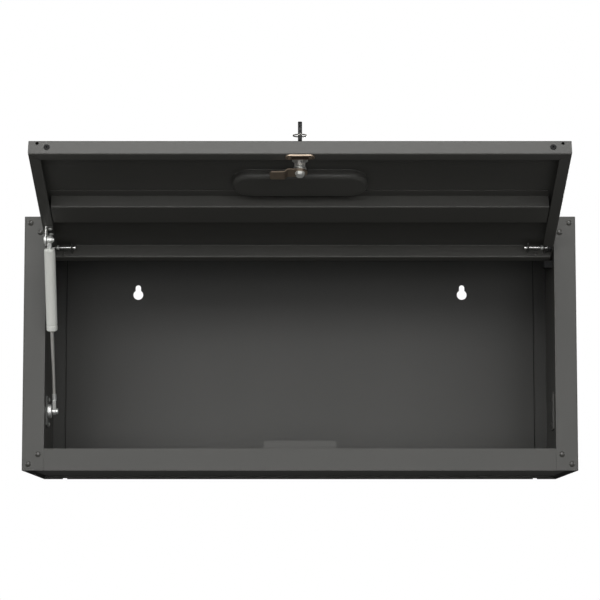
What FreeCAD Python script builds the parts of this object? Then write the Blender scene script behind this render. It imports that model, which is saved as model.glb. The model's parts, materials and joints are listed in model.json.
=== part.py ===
# Wall-hung steel storage cabinet with a lift-up door held open by one gas strut.
# Millimetres, +Z up, +X to the right of a user, +Y into the wall.
# Origin: on the wall plane, midway between the two keyhole circles of the back panel.
# The door and all it carries are drawn shut, then turned open to the rest pose.

import FreeCAD, Part
import math
import os

from FreeCAD import Vector

# driving dimensions: cabinet
cabinet_width = 760.0
cabinet_height = 350.0
cabinet_depth = 300.0
sheet = 1.2                    # steel sheet of panels, posts and door
bend_inner = 0.8               # inside radius of every folded edge
flange = 30.0                  # front frame all round, and rear flanges of the sides
inner_flange = 20.0            # rear flanges of the top and bottom panels
floor_recess = 5.5             # floor skin sits this far above the lowest edge
post_depth = 125.0             # inner post, measured back from the front plane
post_lip = 25.0                # post's front lip behind the side flange
relief_width = 6.0             # corner relief notch at the back panel's lower edge
relief_height = 1.4
keyhole_spacing = 484.6
keyhole_drop = 74.5            # below the cabinet's top
keyhole_r = 7.3
keyhole_slot_r = 4.0
keyhole_slot_rise = 10.6
rivet_head_r = 4.0
rivet_head_h = 1.9
rivet_shank_r = 1.6
tail_step = 0.4                # rivet tail's radius over its shank's
tail_gap = 0.1                 # outer rivet tails over the floor skin
rivet_inner = 22.0             # inner rivet of each corner, in from both outer edges
fit_gap = 0.05                 # radial clearance of every shank, pin and shaft
seat_gap = 0.3                 # clearance between parts that move past each other
butt_gap = 0.5                 # between edges of sheets that end side by side
sink = 0.5                     # how far the joined forms of one piece reach into each other
strike_width = 100.0
strike_sheet = 1.5
strike_overlap = 12.0          # strike stands this far above the bottom flange
strike_gap = 2.4               # strike's front face behind the shut door's wear rivets
strike_foot = 25.0
strike_rivet_x = 35.0
strike_rivet_y = 15.0          # behind the strike's front face
stop_height = 9.3
stop_reach = 12.0
stop_length = 17.0
stop_round = 1.5
stop_gap = 0.66                # stop's top below the open door's rain lip
back_drop = 2.0                # rivet tails behind a sheet

# driving dimensions: door
door_gap = 1.5                 # reveal between door and frame, all round
door_thick = 20.0
side_lip = 15.0
free_lip = 15.0
rain_lip = 10.0                # lip at the hinged edge, turned outward behind the frame
lip_relief = 22.0              # side lips start this far from the hinge axis
hinge_drop = 41.8              # hinge axis below the cabinet's top
hinged_reach = 10.3            # door's hinged edge beyond the hinge axis
top_clear = 0.9                # open door's skin below the top flange's edge
open_angle = 110.0
hat_near = 90.0                # stiffener, from the hinge axis
hat_width = 44.0
hat_depth = 18.5
hat_foot = 14.0
hat_end_gap = 1.5
hat_sheet = 1.0
pocket_gap = 1.6               # finger pocket, beyond the stiffener's foot
pocket_width = 176.0
pocket_height = 52.0
pocket_depth = 12.0
pocket_corner = 24.0
pocket_edge = 4.0
pocket_mouth = 1.2             # inside bend radius where the skin turns into the pocket
seam_width = 0.35              # welded corner seams of the door
seam_depth = 0.5
bumper_r = 4.0
bumper_neck_r = 2.75
bumper_x = 324.6
bumper_stand = 0.9
bumper_barb = 2.5
bumper_bore_r = 1.1            # blind hole in the plug's face
drain_r = 2.2
drain_x = 337.3
drain_rise = 4.3               # drain hole above the skin's outer face

# driving dimensions: hinge pins
pin_r = 2.0
pin_stub = 1.0                 # plain shaft between the inner ear and the pull head
pin_tip = 3.5                  # tip's reach past the post's inner face
pin_head_r = 3.0
pin_head_h = 3.5
bracket_length = 23.5
bracket_sheet = 1.5
bracket_half = 5.0
bracket_inset = 12.0           # outer ear, from the post's inner face
spring_wire = 0.8
spring_r = 2.85                # mean radius of the coil
spring_turns = 8
clip_h = 3.0
clip_r = 3.4
groove_w = 1.2                 # the clip's groove in the pin
groove_depth = 0.4
hinge_rivet_r = 3.0
hinge_rivet_h = 1.8
hinge_rivet_drop = 3.6         # from the door's inner face
bush_r = 4.5
bush_neck_r = 3.5
bush_length = 6.4

# driving dimensions: gas strut
strut_inset = 11.0             # strut's plane, from the post's inner face
upper_reach = 70.0             # upper pivot along the door from the hinge axis
upper_rise = 25.0              # and inward of the hinge axis
lower_inset = 12.0             # lower pivot behind the shut door's inner face
lower_drop = 267.0             # lower pivot below the cabinet's top
tube_r = 7.5
tube_wall = 1.2
tube_round = 2.0
tube_slip = 0.08               # piston's clearance in the tube
gland_fit = 0.02
tube_start = 12.0
tube_length = 117.0
rod_r = 2.3
eye_r = 6.0
eye_thick = 5.4
upper_neck_w = 9.3
lower_eye_r = 5.0
lower_eye_thick = 4.0
lower_eye_length = 25.0
lower_neck_w = 8.0
socket_wall = 0.8              # socket round the rod's end
socket_length = 9.5
socket_hold = 6.0              # rod's length inside its socket
pivot_r = 2.6
pivot_head_h = 1.8
lower_head_h = 2.8
washer_thick = 1.6             # retaining washer on the upper pivot pin
gland_length = 7.0
gland_inset = 0.6
piston_length = 6.0
piston_stop = 1.0              # piston's gap to the gland with the strut fully out
piston_groove = (2.2, 3.8)
plate_height = 43.0
plate_length = 33.0
plate_sheet = 2.0
plate_gap = 2.0                # strut plates start this far behind the shut door
boss_r = 9.4
boss_h = 5.0
boss_round = 0.8
plate_rivet_y = 24.0           # rivets of a strut plate, from its front edge
plate_rivet_z = 17.0           # and above and below its middle
plate_corner = 3.0
small_head_r = 3.0             # rivets of plates and strike
small_head_h = 1.5
spare_height = 52.0
spare_length = 28.0
ear_sheet = 1.5
ear_offset = 4.0               # ear's inner face, outward of the strut's plane
ear_foot = 26.0
ear_root = 4.0                 # height of the full-length root that the ear rises from
ear_tip_r = 8.0
ear_shift = 2.0                # foot's middle, nearer the hinge than the pivot
ear_screw_inset = 5.5          # from each end of the foot
ear_screw_r = 3.2
ear_screw_h = 1.6

# driving dimensions: lock and key
lock_inset = 40.0              # lock axis from the door's free edge
barrel_r = 8.25
barrel_out = 2.6               # head outside the door skin
barrel_head_r = 11.0
barrel_head_round = 1.4
nut_wall = 2.0                 # nut's metal beyond the barrel, across its flats
nut_flats = 2 * (barrel_r + nut_wall)
nut_h = 4.5
washer_h = 1.8
plug_r = 5.5
plug_square = 7.0
plug_sunk = 0.4
tapped_depth = 6.0             # cam screw's hole in the plug's square end
cam_width = 19.0
cam_reach = 39.0
cam_sheet = 2.0
cam_corner = 4.0
cam_joggle = 4.0
cam_step = 6.5                 # joggle starts this far from the lock axis
cam_stand = 3.2                # cam's gap over the stop washer
cam_gap = 1.0                  # cam's tip behind the strike
screw_flats = 9.4
screw_washer_r = 6.5
screw_h = 3.6
screw_washer_h = 0.9
screw_shank_r = 2.0
wear_width = 38.0
wear_height = 11.0
wear_sheet = 2.0
wear_rivet_r = 2.8
wear_rivet_h = 0.6
key_blade_w = 8.0
key_blade_t = 2.0
key_blade_length = 24.0
key_bow_w = 26.0
key_bow_t = 5.4
key_stand = 48.0               # key's top above the door's outer skin
key_bow_length = 34.0
key_bow_round = 9.0
key_hold = 6.0                 # blade's length inside the bow
key_tip_gap = 4.0              # blade's tip short of the plug's end
key_slot_w = 1.3
ring_hole_r = 2.6
ring_hole_drop = 18.0
key_slot_near = 1.6            # half length of the split at the ring hole
key_slot_far = (4.8, 9.6)      # second split, beyond the ring hole
ring_r = 8.6
ring_wire_r = 0.85
ring_gap = 0.7                 # the curved wire needs this to turn in the hole

# dependent places
x_out = cabinet_width / 2
x_open = x_out - flange                      # inner face of the frame and of the posts
y_front = -cabinet_depth
z_top = keyhole_drop
z_bottom = z_top - cabinet_height
z_floor = z_bottom + floor_recess + sheet
z_rail = z_bottom + flange                   # upper edge of the bottom flange
hinge_y = y_front + door_thick / 2
hinge_z = z_top - hinge_drop
door_half = x_open - door_gap
bend_r = bend_inner + sheet                  # outside bend radius
pocket_near = hat_near + hat_width + hat_foot + pocket_gap + sheet
skin_n = -door_thick / 2                     # outer face of the door, in door depth
lip_n = door_thick / 2
hinged_edge = -hinged_reach
free_edge = hinge_z - z_rail - door_gap
inner_skin = skin_n + sheet
lock_s = free_edge - lock_inset
strut_x = -(x_open - strut_inset)
rivet_outer = floor_recess + sheet + rivet_shank_r + tail_step + tail_gap
strike_inset = door_thick + wear_sheet + wear_rivet_h + strike_gap
plate_start = door_thick + plate_gap
lower_depth = door_thick + lower_inset
cam_tip_n = strike_inset + strike_sheet - door_thick / 2 + cam_gap
barrel_in = cam_tip_n - cam_joggle - cam_stand - washer_h - inner_skin
open_turn = math.radians(open_angle)
stop_drop = stop_gap + (lip_n * math.sin(open_turn)
                        + (hinged_edge - rain_lip) * math.cos(open_turn))
open_s = (skin_n * math.cos(open_turn) + door_thick / 2 - sheet) / math.sin(open_turn)
open_rise = -open_s * math.cos(open_turn) - skin_n * math.sin(open_turn)
top_flange = hinge_drop - open_rise - top_clear  # the open door lies under its edge

os.makedirs("parts", exist_ok=True)
hinge_axis = Vector(0, hinge_y, hinge_z)


def save(name, shape):
    """Write one node's solids to its own STEP file."""
    if shape.ShapeType == "Compound" and len(shape.Solids) == 1:
        shape = shape.Solids[0]
    shape.exportStep(f"parts/{name}.step")


def box(x0, x1, y0, y1, z0, z1):
    return Part.makeBox(x1 - x0, y1 - y0, z1 - z0, Vector(x0, y0, z0))


def rod(radius, start, end):
    """Cylinder from one point to another."""
    way = end - start
    return Part.makeCylinder(radius, way.Length, start, way)


def mirrored(shape):
    return shape.mirror(Vector(0, 0, 0), Vector(1, 0, 0))


def save_pair(name, shape):
    """Write a right-hand piece and its mirror image on the left."""
    save(name + "_right", shape)
    save(name + "_left", mirrored(shape))


def joined(shapes):
    """Fuse touching sheets of one pressing into one solid."""
    return shapes[0].multiFuse(shapes[1:]).removeSplitter()


def edges_along(shape, axis, lines):
    """Edges parallel to axis 0, 1 or 2 whose two other coordinates are one of the lines."""
    others = [k for k in range(3) if k != axis]
    found = []
    for edge in shape.Edges:
        run = edge.Vertexes[-1].Point - edge.Vertexes[0].Point
        middle = edge.CenterOfMass
        if abs(run[axis]) < 0.01 or any(abs(run[k]) > 0.01 for k in others):
            continue
        if any(all(abs(middle[k] - v) < 0.01 for k, v in zip(others, line)) for line in lines):
            found.append(edge)
    return found


def rim_at(shape, axis, place):
    """Edges that lie whole in the plane where the axis coordinate has that value."""
    return [e for e in shape.Edges
            if all(abs(v.Point[axis] - place) < 0.01 for v in e.Vertexes)
            and abs(e.CenterOfMass[axis] - place) < 0.01]


def shut(x, s, n):
    """Door point with the door shut: s runs from the hinge to the free edge, n inward."""
    return Vector(x, hinge_y + n, hinge_z - s)


def door_box(x0, x1, s0, s1, n0, n1):
    return box(x0, x1, hinge_y + n0, hinge_y + n1, hinge_z - s1, hinge_z - s0)


def opened(shape):
    """Turn a shape that is drawn with the door shut to the rest pose, door open."""
    turned = shape.copy()
    turned.rotate(hinge_axis, Vector(1, 0, 0), -open_angle)
    return turned


def rivet(base, out, head_r, head_h, shank_r, grip):
    """Domed head standing out of the sheet, shank through it and a flat tail behind."""
    sphere_r = (head_r ** 2 + head_h ** 2) / (2 * head_h)
    ball = Part.makeSphere(sphere_r, base - out * (sphere_r - head_h))
    dome = ball.common(rod(head_r + 1, base, base + out * (head_h + 1)))
    shank = rod(shank_r, base + out * sink, base - out * (grip + sink))
    tail = rod(shank_r + tail_step, base - out * grip, base - out * (grip + back_drop))
    return dome.multiFuse([shank, tail]).removeSplitter()


# cabinet
def rivet_corners():
    """Front plane points of the rivet pairs in the four corners of the frame."""
    points = []
    for side in (-1, 1):
        for inset in (rivet_outer, rivet_inner):
            points.append(Vector(side * (x_out - inset), y_front, z_top - inset))
            points.append(Vector(side * (x_out - inset), y_front, z_bottom + inset))
    return points


def rivet_holes():
    hole = rivet_shank_r + fit_gap
    return [rod(hole, p - Vector(0, 1, 0), p + Vector(0, 4 * sheet, 0))
            for p in rivet_corners()]


def relief_cut():
    centre = x_open - 1
    half = relief_width / 2
    return box(centre - half, centre + half, -3 * sheet, sheet,
               z_bottom - 1, z_bottom + relief_height)


def side_panel():
    """Right side: outer skin with a front frame flange and a rear flange."""
    skin = box(x_out - sheet, x_out, y_front, 0, z_bottom, z_top)
    front = box(x_open, x_out, y_front, y_front + sheet, z_bottom, z_top)
    rear = box(x_open, x_out, -2 * sheet, -sheet, z_bottom, z_top)
    panel = joined([skin, front, rear])
    panel = panel.makeFillet(bend_r, edges_along(panel, 2, [(x_out, y_front)]))
    return panel.cut(rivet_holes() + [relief_cut()])


def cross_panel(z_skin, z_edge, way, front_height):
    """Top or bottom panel: skin between the sides, flanges turned up or down."""
    half = x_out - sheet
    front_y = y_front + sheet
    skin = box(-half, half, front_y, -2 * sheet, z_skin, z_skin + sheet)
    z_in = z_edge + way * front_height
    front = box(-half, half, front_y, front_y + sheet, min(z_edge, z_in), max(z_edge, z_in))
    z_start = z_skin if way > 0 else z_skin + sheet
    z_end = z_start + way * inner_flange
    rear = box(butt_gap - x_open, x_open - butt_gap, -2 * sheet, -sheet,
               min(z_start, z_end), max(z_start, z_end))
    corners = [box(x0, x0 + flange + 1, -2 * sheet, 0, z_skin - 1, z_skin + sheet + 1)
               for x0 in (-x_out - 1, x_open)]
    panel = joined([skin, front, rear])
    if z_edge > z_skin:
        panel = panel.makeFillet(bend_r, edges_along(panel, 0, [(front_y, z_edge)]))
    return panel.cut(rivet_holes() + corners)


def keyhole(x):
    """Round opening for a screw head with a slot above it for the shank."""
    start = Vector(x, -2 * sheet, 0)
    through = Vector(0, 4 * sheet, 0)
    rise = Vector(0, 0, keyhole_slot_rise)
    slot = box(x - keyhole_slot_r, x + keyhole_slot_r, -2 * sheet, 2 * sheet,
               0, keyhole_slot_rise)
    return joined([rod(keyhole_r, start, start + through),
                   rod(keyhole_slot_r, start + rise, start + rise + through), slot])


def back_panel():
    half = x_out - sheet
    panel = box(-half, half, -sheet, 0, z_bottom, z_top - sheet)
    holes = [keyhole(side * keyhole_spacing / 2) for side in (-1, 1)]
    return panel.cut(holes + [relief_cut(), mirrored(relief_cut())])


def post():
    """Right inner post: web flush with the frame's opening, lip and rear return."""
    y_back = y_front + post_depth
    web = box(x_open, x_open + sheet, y_front + 2 * sheet, y_back, z_floor, z_top - sheet)
    rear = box(x_open, x_out - sheet, y_back - sheet, y_back, z_floor, z_top - sheet)
    lip = box(x_open, x_open + post_lip, y_front + sheet, y_front + 2 * sheet,
              z_rail + butt_gap, z_top - top_flange - butt_gap)
    web = joined([web, rear, lip])
    axle = rod(pin_r + fit_gap, Vector(x_open - 1, hinge_y, hinge_z),
               Vector(x_open + 3 * sheet, hinge_y, hinge_z))
    return web.cut([axle] + plate_holes())


def strike_tab():
    """Angle on the floor whose upper edge the lock's cam passes behind."""
    y0 = y_front + strike_inset
    half = strike_width / 2
    stand = box(-half, half, y0, y0 + strike_sheet, z_floor, z_rail + strike_overlap)
    foot = box(-half, half, y0, y0 + strike_foot, z_floor, z_floor + strike_sheet)
    strike = joined([stand, foot])
    strike = strike.makeFillet(bend_inner + strike_sheet, edges_along(strike, 0, [(y0, z_floor)]))
    return strike.cut(strike_holes())


def strike_points():
    y = y_front + strike_inset + strike_rivet_y
    return [Vector(side * strike_rivet_x, y, z_floor + strike_sheet) for side in (-1, 1)]


def strike_holes():
    reach = Vector(0, 0, 4 * sheet)
    return [rod(rivet_shank_r + fit_gap, p - reach, p + reach) for p in strike_points()]


def door_stop():
    """Rubber block on the post that the shut door's lip comes up to."""
    y0 = y_front + door_thick + seat_gap
    z1 = hinge_z - stop_drop
    block = box(x_open - stop_reach, x_open, y0, y0 + stop_length, z1 - stop_height, z1)
    return block.makeFillet(stop_round, rim_at(block, 0, x_open - stop_reach))


def plate_points():
    """Rivet points of a strut plate, on the right-hand post's inner face."""
    y = y_front + plate_start + plate_rivet_y
    z = z_top - lower_drop
    return [Vector(x_open, y, z + side * plate_rivet_z) for side in (-1, 1)]


def plate_holes():
    reach = Vector(4 * sheet, 0, 0)
    return [rod(rivet_shank_r + fit_gap, p - reach, p + reach) for p in plate_points()]


def plate_rivet_group():
    out = Vector(-1, 0, 0)
    return Part.makeCompound([rivet(p + out * plate_sheet, out, small_head_r, small_head_h,
                                    rivet_shank_r, plate_sheet + sheet)
                              for p in plate_points()])


def strut_plate(height, length):
    """Plate on the right-hand post's inner face, centred on the strut's lower pivot."""
    y0 = y_front + plate_start
    z = z_top - lower_drop
    plate = box(x_open - plate_sheet, x_open, y0, y0 + length, z - height / 2, z + height / 2)
    corners = [(y, z + way * height / 2) for y in (y0, y0 + length) for way in (-1, 1)]
    return plate.makeFillet(plate_corner, edges_along(plate, 0, corners)).cut(plate_holes())


def wall_bracket():
    """Strut's lower bracket: plate with a round boss facing the rod's eye."""
    y = y_front + lower_depth
    z = z_top - lower_drop
    start = Vector(x_open - plate_sheet, y, z)
    boss = rod(boss_r, start, start - Vector(boss_h, 0, 0))
    boss = boss.makeFillet(boss_round, rim_at(boss, 0, start.x - boss_h))
    return joined([strut_plate(plate_height, plate_length), boss]).cut(plate_holes())


# door, drawn shut
def tray(inset, radius):
    """Door's outer form or, inset by a sheet, its hollow; folded edges rounded."""
    half = door_half - inset
    s0, s1 = hinged_edge + inset, free_edge - inset
    n0, n1 = skin_n + inset, lip_n - inset
    block = door_box(-half, half, s0, s1, n0, n1)
    edges = rim_at(block, 1, hinge_y + n0)
    edges += [e for e in rim_at(block, 1, hinge_y + n1)
              if abs(e.CenterOfMass.z - (hinge_z - s0)) > 0.01]
    return block.makeFillet(radius, edges)


def hinged_fold():
    """Hinged edge's flange with the rain lip folded outward from it, an L along the door."""
    half = door_half - bend_r
    edge, lip = hinged_edge + sheet, lip_n - sheet
    upright = door_box(-half, half, hinged_edge, edge, lip - bend_r, lip_n)
    flat = door_box(-half, half, hinged_edge - rain_lip, edge, lip, lip_n)
    fold = joined([upright, flat])
    fold = fold.makeFillet(bend_r, edges_along(fold, 0, [(hinge_y + lip_n, hinge_z - edge)]))
    inner = (hinge_y + lip, hinge_z - hinged_edge)
    return fold.makeFillet(bend_inner, edges_along(fold, 0, [inner]))


def pocket_block(grow, n0, n1):
    """Rounded block of the finger pocket, grown outward by one sheet or not at all."""
    s0 = pocket_near - grow
    block = door_box(-pocket_width / 2 - grow, pocket_width / 2 + grow,
                     s0, s0 + pocket_height + 2 * grow, n0, n1)
    upright = [e for e in block.Edges
               if abs(e.Vertexes[0].Y - e.Vertexes[-1].Y) > 1]
    block = block.makeFillet(pocket_corner + grow, upright)
    return block.makeFillet(pocket_edge + grow, rim_at(block, 1, hinge_y + n1))


def door_pan():
    """Folded door skin with four flanges, three inward lips, a rain lip and a pocket."""
    n0, n1 = lip_n - bend_r - sheet, lip_n + 1
    window = door_box(side_lip - door_half, door_half - side_lip, hinged_edge - 1,
                      free_edge - free_lip, n0, n1)
    near = door_box(sheet - door_half, door_half - sheet, hinged_edge - 1, lip_relief, n0, n1)
    pan = tray(0, bend_r).cut([tray(sheet, bend_inner), window, near]).fuse(hinged_fold())
    pan = pan.fuse(pocket_block(sheet, skin_n + sheet / 2, inner_skin + pocket_depth))
    pan = pan.cut(pocket_block(0, skin_n - 1, skin_n + pocket_depth)).removeSplitter()
    pan = pan.makeFillet(pocket_mouth, pocket_rim(pan, sheet, inner_skin))
    pan = pan.makeFillet(pocket_mouth + sheet, pocket_rim(pan, 0, skin_n))
    return pan.cut(door_cuts() + corner_seams())


def pocket_rim(pan, grow, n):
    """The pocket's outline in one face of the door skin."""
    reach = pocket_width / 2 + grow + 0.01
    far = pocket_near + pocket_height + grow + 0.01
    return [e for e in rim_at(pan, 1, hinge_y + n)
            if all(abs(v.X) < reach and pocket_near - grow - 0.01 < hinge_z - v.Z < far
                   for v in e.Vertexes)]


def corner_seams():
    """Fine grooves where the folded corners at the free edge meet and are welded."""
    seams = []
    long = math.hypot(side_lip, free_lip)
    turn = math.degrees(math.atan2(free_lip, side_lip))
    for side in (-1, 1):
        strip = Part.makeBox(long + 2, seam_depth * 2, seam_width,
                             Vector(-1, -seam_depth, -seam_width / 2))
        strip.rotate(Vector(0, 0, 0), Vector(0, 1, 0), -turn if side < 0 else turn - 180)
        strip.translate(shut(side * door_half, free_edge, lip_n))
        seams.append(strip)
        x = side * door_half
        s = free_edge - sheet
        seams.append(door_box(x - seam_depth, x + seam_depth, s - seam_width, s,
                              skin_n + bend_r, lip_n - bend_r))
    return seams


def door_cuts():
    """Holes for lock, pins, bumpers, drain, bracket and plate fasteners."""
    cuts = [rod(barrel_r + fit_gap, shut(0, lock_s, skin_n - 1), shut(0, lock_s, 0))]
    hole = rivet_shank_r + fit_gap
    for side in (-1, 1):
        cuts.append(rod(bush_neck_r + fit_gap, shut(side * (door_half - 3 * sheet), 0, 0),
                        shut(side * (door_half + 1), 0, 0)))
        low, high = free_edge - 3, free_edge + 1
        cuts.append(rod(bumper_neck_r + fit_gap, shut(side * bumper_x, low, 0),
                        shut(side * bumper_x, high, 0)))
        drain_n = skin_n + drain_rise
        cuts.append(rod(drain_r, shut(side * drain_x, low, drain_n),
                        shut(side * drain_x, high, drain_n)))
        point = hinge_rivet_point(side)
        cuts.append(rod(hole, point, point + Vector(0, 0, 5)))
    for point in ear_screw_points() + wear_rivet_points():
        cuts.append(rod(hole, point, point - Vector(0, 6, 0)))
    return cuts


def stiffener():
    """Hat section across the inside of the door skin."""
    x = door_half - side_lip - hat_end_gap
    s0, s1 = hat_near, hat_near + hat_width
    crown = inner_skin + hat_depth
    parts = [door_box(-x, x, s0, s1, crown - hat_sheet, crown)]
    for wall in (s0, s1 - hat_sheet):
        parts.append(door_box(-x, x, wall, wall + hat_sheet, inner_skin, crown))
    parts.append(door_box(-x, x, s0 - hat_foot, s0 + hat_sheet, inner_skin,
                          inner_skin + hat_sheet))
    parts.append(door_box(-x, x, s1 - hat_sheet, s1 + hat_foot, inner_skin,
                          inner_skin + hat_sheet))
    hat = joined(parts)
    lines = [(hinge_y + crown, hinge_z - s) for s in (s0, s1)]
    return hat.makeFillet(bend_inner + hat_sheet, edges_along(hat, 0, lines))


# hinge pins, drawn on the right with the door shut
def ear_x():
    """Outer faces of the hinge bracket's outer and inner ears."""
    outer = x_open - bracket_inset
    return outer, outer - bracket_length


def hinge_rivet_point(side):
    outer, inner = ear_x()
    seat = hinged_edge + sheet + bracket_sheet
    return shut(side * (outer + inner) / 2, seat, lip_n - hinge_rivet_drop)


def hinge_bracket():
    """U bracket on the door's hinged flange whose two ears carry the pin."""
    outer, inner = ear_x()
    seat = hinged_edge + sheet
    base = door_box(inner, outer, seat, seat + bracket_sheet,
                    -bracket_half, lip_n - bend_r - fit_gap)
    ears = [door_box(x0, x0 + bracket_sheet, seat, bracket_half, -bracket_half, bracket_half)
            for x0 in (inner, outer - bracket_sheet)]
    hole = rod(pin_r + fit_gap, shut(inner - 1, 0, 0), shut(outer + 1, 0, 0))
    point = hinge_rivet_point(1)
    shank = rod(rivet_shank_r + fit_gap, point - Vector(0, 0, 3), point + Vector(0, 0, 3))
    return joined([base] + ears).cut([hole, shank])


def hinge_rivet():
    """Domed rivet cut flush inside the flange, so that nothing stands out of the door's edge."""
    whole = rivet(hinge_rivet_point(1), Vector(0, 0, -1), hinge_rivet_r, hinge_rivet_h,
                  rivet_shank_r, sheet + bracket_sheet)
    return whole.common(door_box(0, x_open, hinged_edge + seat_gap, door_thick,
                                 -door_thick, door_thick))


def hinge_pin():
    """Round pin with a pull head inside the inner ear and a rounded tip in the post."""
    outer, inner = ear_x()
    tip = x_open + pin_tip
    neck = inner - pin_stub
    shaft = rod(pin_r, shut(neck, 0, 0), shut(tip, 0, 0))
    shaft = shaft.makeFillet(pin_r * 0.6, rim_at(shaft, 0, tip))
    head = rod(pin_head_r, shut(neck - pin_head_h, 0, 0), shut(neck, 0, 0))
    head = head.makeFillet(pin_head_h / 6,
                           rim_at(head, 0, neck) + rim_at(head, 0, neck - pin_head_h))
    x0 = clip_x() + (clip_h - groove_w) / 2
    start, end = shut(x0, 0, 0), shut(x0 + groove_w, 0, 0)
    ring = rod(pin_r + 1, start, end).cut(rod(pin_r - groove_depth, start, end))
    return joined([shaft, head]).cut(ring)


def clip_x():
    outer, inner = ear_x()
    return outer - bracket_sheet - seat_gap - clip_h


def pin_clip():
    """Collar snapped into the pin's groove: the spring pushes on it."""
    x0 = clip_x()
    start, end = shut(x0, 0, 0), shut(x0 + clip_h, 0, 0)
    collar = rod(clip_r, start, end).cut(rod(pin_r + fit_gap, start, end))
    inset = (clip_h - groove_w) / 2 + fit_gap
    start, end = shut(x0 + inset, 0, 0), shut(x0 + clip_h - inset, 0, 0)
    web = rod(pin_r + sink, start, end).cut(rod(pin_r - groove_depth + fit_gap, start, end))
    return joined([collar, web])


def pin_spring():
    """Open coil between the inner ear and the collar, one closed wire."""
    outer, inner = ear_x()
    start = inner + bracket_sheet + spring_wire / 2 + fit_gap
    length = clip_x() - spring_wire / 2 - fit_gap - start
    helix = Part.makeHelix(length / spring_turns, length, spring_r)
    section = Part.Wire(Part.Circle(Vector(spring_r, 0, 0), Vector(0, 1, 0),
                                    spring_wire / 2).toShape())
    coil = Part.Wire(helix).makePipeShell([section], True, True)
    coil.rotate(Vector(0, 0, 0), Vector(0, 1, 0), 90)
    coil.translate(shut(start, 0, 0))
    return coil


def hinge_bush():
    """Flanged bush in the door's side flange that the pin slides through."""
    inner = door_half - bush_length
    body = rod(bush_r, shut(inner, 0, 0), shut(door_half - sheet, 0, 0))
    neck = rod(bush_neck_r, shut(door_half - sheet, 0, 0), shut(door_half, 0, 0))
    bore = rod(pin_r + fit_gap, shut(inner - 1, 0, 0), shut(door_half + 1, 0, 0))
    return joined([body, neck]).cut(bore)


# gas strut, drawn in the rest pose
def opened_point(x, s, n):
    """Door point in the rest pose, with the door open."""
    away = Vector(0, -math.sin(open_turn), -math.cos(open_turn)) * s
    inward = Vector(0, math.cos(open_turn), -math.sin(open_turn)) * n
    return Vector(x, hinge_y, hinge_z) + away + inward


upper_pivot = opened_point(strut_x, upper_reach, upper_rise)
upper_shut = shut(strut_x, upper_reach, upper_rise)
lower_pivot = Vector(strut_x, y_front + lower_depth, z_top - lower_drop)
strut_way = (lower_pivot - upper_pivot).normalize()
strut_long = (lower_pivot - upper_pivot).Length
strut_short = (lower_pivot - upper_shut).Length
stroke = strut_long - strut_short
across = Vector(1, 0, 0)


def along(t, x=0.0):
    """Point on the strut's centre line, t from its upper pivot."""
    return upper_pivot + strut_way * t + across * x


def tube_end():
    return tube_start + tube_length


def eye(t, radius, thick, bore, t_neck, neck_w):
    """Flat eye round a pivot with a neck that runs to the strut's body."""
    half = thick / 2
    disc = rod(radius, along(t, -half), along(t, half))
    length = abs(t_neck - t)
    neck = Part.makeBox(thick, neck_w, length, Vector(-half, -neck_w / 2, 0))
    way = strut_way if t_neck > t else strut_way * -1
    neck.Placement = FreeCAD.Placement(along(t), FreeCAD.Rotation(Vector(0, 0, 1), way))
    return joined([disc, neck]).cut(rod(bore, along(t, -thick), along(t, thick)))


def strut_tube():
    """Drawn tube, open at the gland, its upper end closed and rounded."""
    t0, t1 = tube_start, tube_end()
    tube = rod(tube_r, along(t0), along(t1))
    tube = tube.makeFillet(tube_round, [e for e in tube.Edges if e.Length > tube_r * 5])
    return tube.cut(rod(tube_r - tube_wall, along(t0 + tube_wall), along(t1 + 1)))


def strut_gland():
    """Rod guide and seal in the tube's lower end."""
    t1 = tube_end()
    body = rod(tube_r - tube_wall - gland_fit, along(t1 - gland_length), along(t1 - gland_inset))
    return body.cut(rod(rod_r + fit_gap, along(t1 - gland_length - 1), along(t1 + 1)))


def piston_t():
    return tube_end() - gland_length - piston_length - piston_stop


def strut_rod():
    return rod(rod_r, along(piston_t() - piston_stop),
               along(strut_long - lower_eye_length + socket_hold))


def strut_piston():
    """Piston on the rod's inner end, clear of the tube's bore."""
    t0 = piston_t()
    body = rod(tube_r - tube_wall - tube_slip, along(t0), along(t0 + piston_length))
    start, end = (along(t0 + t) for t in piston_groove)
    groove = rod(tube_r, start, end).cut(rod(tube_r - 2 * tube_wall, start, end))
    return body.cut([groove, rod(rod_r, along(t0 - 1), along(t0 + piston_length + 1))])


def upper_eye():
    return eye(0, eye_r, eye_thick, pivot_r + fit_gap, tube_start, upper_neck_w)


def lower_eye():
    """Flat eye on a socket that takes the rod's end."""
    t0 = strut_long - lower_eye_length
    blade = eye(strut_long, lower_eye_r, lower_eye_thick, pivot_r + fit_gap,
                t0 + socket_length - sheet, lower_neck_w)
    socket = rod(rod_r + socket_wall, along(t0), along(t0 + socket_length))
    socket = socket.cut(rod(rod_r, along(t0 - 1), along(t0 + socket_hold)))
    return joined([blade, socket])


def upper_pin():
    """Headed pin through the door bracket's ear and the upper eye, drawn shut."""
    ear = strut_x - ear_offset
    base = Vector(ear - ear_sheet, upper_shut.y, upper_shut.z)
    tip = strut_x + eye_thick / 2 + seat_gap + 2 * washer_thick
    shaft = rod(pivot_r, base, Vector(tip, base.y, base.z))
    head = rod(2 * pivot_r, base - across * pivot_head_h, base)
    head = head.makeFillet(pivot_head_h / 3, rim_at(head, 0, base.x - pivot_head_h))
    return joined([shaft, head])


def upper_washer():
    """Retaining washer on the upper pivot pin, just clear of the eye, drawn shut."""
    start = upper_shut + across * (eye_thick / 2 + seat_gap)
    end = start + across * washer_thick
    return rod(1.7 * pivot_r, start, end).cut(rod(pivot_r, start, end))


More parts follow.
